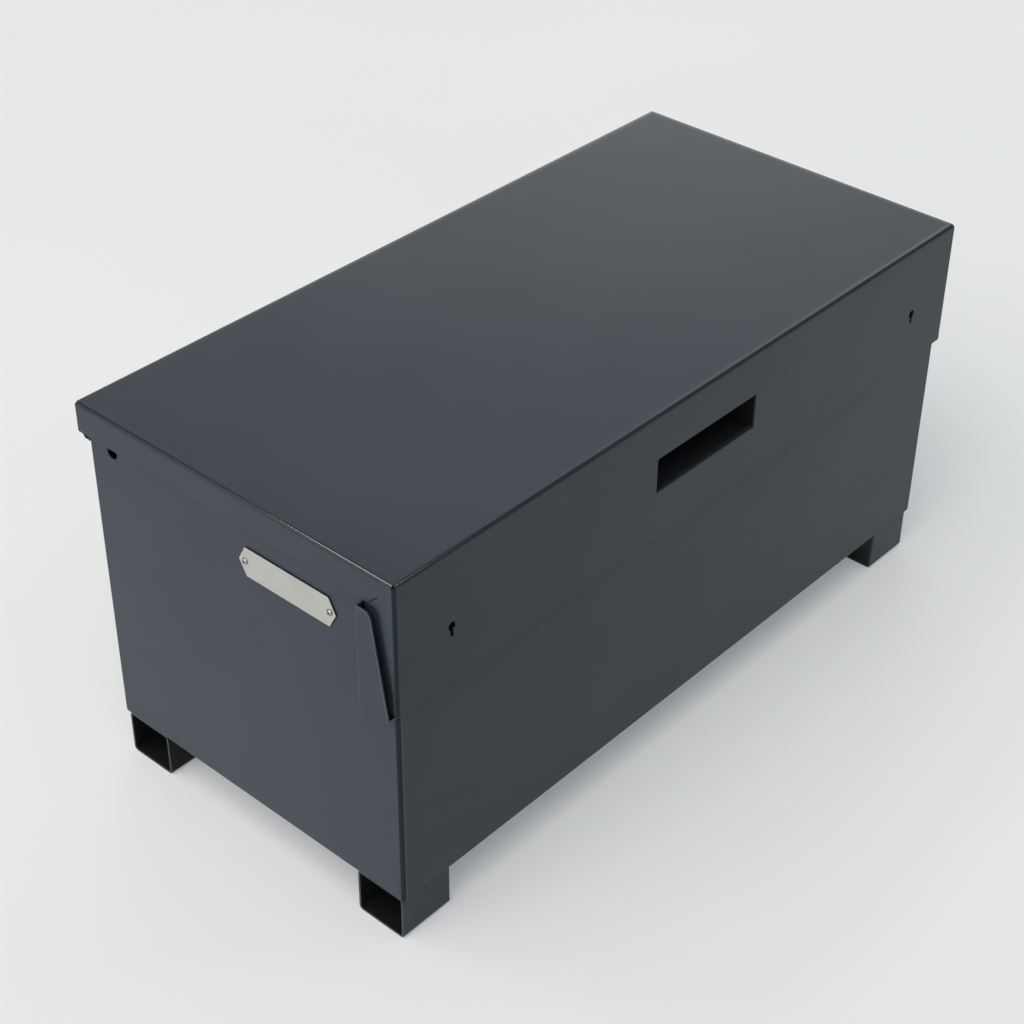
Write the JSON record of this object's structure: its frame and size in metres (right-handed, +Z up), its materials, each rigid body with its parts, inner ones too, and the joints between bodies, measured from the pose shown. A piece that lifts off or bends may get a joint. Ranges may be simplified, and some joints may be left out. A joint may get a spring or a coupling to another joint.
{
  "type": "jobsite box",
  "caption": "Long steel site chest on box-section feet, with an overhanging hinged lid, a deep lockable apron with a recessed pull, and pry guards.",
  "frame": {"origin": "on the ground, under the middle of the box's overall outline", "axes": "+X along the length, towards the right end as seen from the front; +Y towards the hinge side at the rear, so the apron with the locks faces -Y; +Z up"},
  "size_m": [1.2408, 0.595, 0.612],
  "materials": {
    "graphite_paint": "dark slate grey powder coat, satin",
    "nameplate_silver": "satin, blank",
    "rivet_steel": "plain",
    "strut_black": "black enamel, semi-gloss",
    "strut_rod_chrome": "polished",
    "zinc_plated_steel": "zinc plated, satin",
    "hardened_steel": "bare, ground",
    "buffer_rubber": "matte"
  },
  "bodies": {
    "body": {"floor_panel": "graphite_paint", "front_wall": "graphite_paint", "rear_wall": "graphite_paint", "end_wall_left": "graphite_paint", "end_wall_right": "graphite_paint", "foot_front_left": "graphite_paint", "foot_front_right": "graphite_paint", "foot_rear_left": "graphite_paint", "foot_rear_right": "graphite_paint", "pry_guard_left": "graphite_paint", "pry_guard_right": "graphite_paint", "lock_post_left": "graphite_paint", "lock_post_right": "graphite_paint", "strike_plate_left": "graphite_paint", "strike_plate_right": "graphite_paint", "hinge_body_leaf": "graphite_paint", "hinge_pin": "hardened_steel", "lid_buffers": "buffer_rubber", "nameplate_blank": "nameplate_silver", "nameplate_rivets": "rivet_steel", "strut_wall_bracket_left": "graphite_paint", "strut_wall_bracket_right": "graphite_paint", "strut_wall_pin_left": "zinc_plated_steel", "strut_wall_pin_right": "zinc_plated_steel"},
    "lid": {"lid_top": "graphite_paint", "lid_apron": "graphite_paint", "pull_pocket": "graphite_paint", "lid_rib_left": "graphite_paint", "lid_rib_right": "graphite_paint", "hinge_lid_leaf": "graphite_paint", "lock_case_left": "zinc_plated_steel", "lock_case_right": "zinc_plated_steel", "lock_cap_left": "zinc_plated_steel", "lock_cap_right": "zinc_plated_steel", "lock_screws": "zinc_plated_steel", "strut_lid_bracket_left": "graphite_paint", "strut_lid_bracket_right": "graphite_paint"},
    "lock_bolt_left": {"lock_bolt_left": "hardened_steel"},
    "lock_levers_left": {"lock_levers_left": "hardened_steel"},
    "strut_rod_left": {"strut_rod_left": "strut_rod_chrome", "strut_lower_eye_left": "zinc_plated_steel"},
    "strut_tube_left": {"strut_tube_left": "strut_black", "strut_upper_eye_left": "zinc_plated_steel", "strut_upper_pin_left": "zinc_plated_steel"},
    "lock_bolt_right": {"lock_bolt_right": "hardened_steel"},
    "lock_levers_right": {"lock_levers_right": "hardened_steel"},
    "strut_rod_right": {"strut_rod_right": "strut_rod_chrome", "strut_lower_eye_right": "zinc_plated_steel"},
    "strut_tube_right": {"strut_tube_right": "strut_black", "strut_upper_eye_right": "zinc_plated_steel", "strut_upper_pin_right": "zinc_plated_steel"}
  },
  "joints": [
    {"name": "lid_hinge", "type": "hinge", "parent": "body", "child": "lid", "pos_m": [0, 0.28825, 0.55875], "axis": [-1, 0, 0], "range_deg": [0, 85]},
    {"name": "bolt_slide_left", "type": "slide", "parent": "lid", "child": "lock_bolt_left", "axis": [-1, 0, 0], "range_m": [0, 0.016]},
    {"name": "lever_lift_left", "type": "hinge", "parent": "lid", "child": "lock_levers_left", "pos_m": [-0.489, -0.275, 0.523], "axis": [0, 1, 0], "range_deg": [0, 4.5], "stiffness_Nm_per_rad": 0.02, "springref_deg": -17.19},
    {"name": "strut_pivot_left", "type": "hinge", "parent": "body", "child": "strut_rod_left", "pos_m": [-0.568, 0.226, 0.462], "axis": [-1, 0, 0], "range_deg": [0, 68.55]},
    {"name": "strut_slide_left", "type": "slide", "parent": "strut_rod_left", "child": "strut_tube_left", "axis": [0, -0.8529, 0.5222], "range_m": [0, 0.13184]},
    {"name": "bolt_slide_right", "type": "slide", "parent": "lid", "child": "lock_bolt_right", "axis": [1, 0, 0], "range_m": [0, 0.016]},
    {"name": "lever_lift_right", "type": "hinge", "parent": "lid", "child": "lock_levers_right", "pos_m": [0.489, -0.275, 0.523], "axis": [0, -1, 0], "range_deg": [0, 4.5], "stiffness_Nm_per_rad": 0.02, "springref_deg": -17.19},
    {"name": "strut_pivot_right", "type": "hinge", "parent": "body", "child": "strut_rod_right", "pos_m": [0.568, 0.226, 0.462], "axis": [-1, 0, 0], "range_deg": [0, 68.55]},
    {"name": "strut_slide_right", "type": "slide", "parent": "strut_rod_right", "child": "strut_tube_right", "axis": [0, -0.8529, 0.5222], "range_m": [0, 0.13184]}
  ],
  "couplings": [
    {"joint": "strut_pivot_left", "follows": "lid_hinge", "ratio": 0.80638},
    {"joint": "strut_slide_left", "follows": "lid_hinge", "m_per_rad": 0.088802},
    {"joint": "strut_pivot_right", "follows": "lid_hinge", "ratio": 0.80638},
    {"joint": "strut_slide_right", "follows": "lid_hinge", "m_per_rad": 0.088802}
  ]
}
